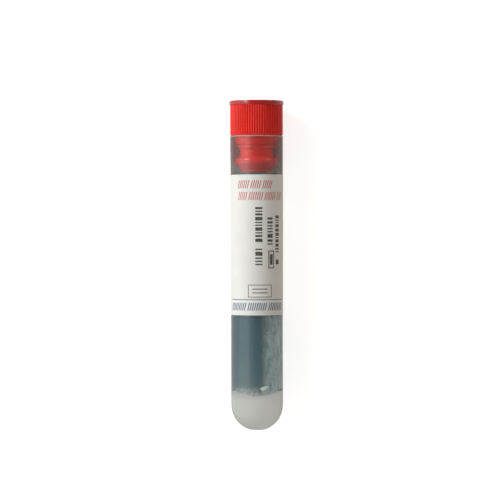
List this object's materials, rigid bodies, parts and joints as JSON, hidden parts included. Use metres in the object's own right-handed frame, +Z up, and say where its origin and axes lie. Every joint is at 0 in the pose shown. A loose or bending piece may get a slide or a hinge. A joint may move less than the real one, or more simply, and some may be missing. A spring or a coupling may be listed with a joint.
{
  "type": "blood collection tube",
  "caption": "Round-bottom clear plastic blood tube on its side, with a ribbed red push-in stopper, a wrapped label and separating gel in its bottom.",
  "frame": {"origin": "on the surface that the tube lies on, under the middle of its overall length", "axes": "+Y along the tube's axis towards the stopper, +Z up, away from the surface; the printed side of the label faces +Z"},
  "size_m": [0.014, 0.0838, 0.0139],
  "materials": {
    "clear_plastic": "clear moulded plastic with a faint grey haze",
    "red_plastic": "red low-density polyethylene, satin as moulded",
    "label_paper": null,
    "gel": "cloudy grey-white thixotropic gel",
    "activator_film": "thin grey-green dried film with whitish streaks",
    "activator": "whitish dried clot activator"
  },
  "bodies": {
    "filled_tube": {"tube": "clear_plastic", "label": "label_paper", "gel": "gel", "activator_coating": "activator_film", "activator_flake": "activator"},
    "cap": {"stopper": "red_plastic"}
  },
  "joints": [
    {"name": "stopper_pull", "type": "slide", "parent": "filled_tube", "child": "cap", "axis": [0, 1, 0], "range_m": [0, 0.025]}
  ]
}
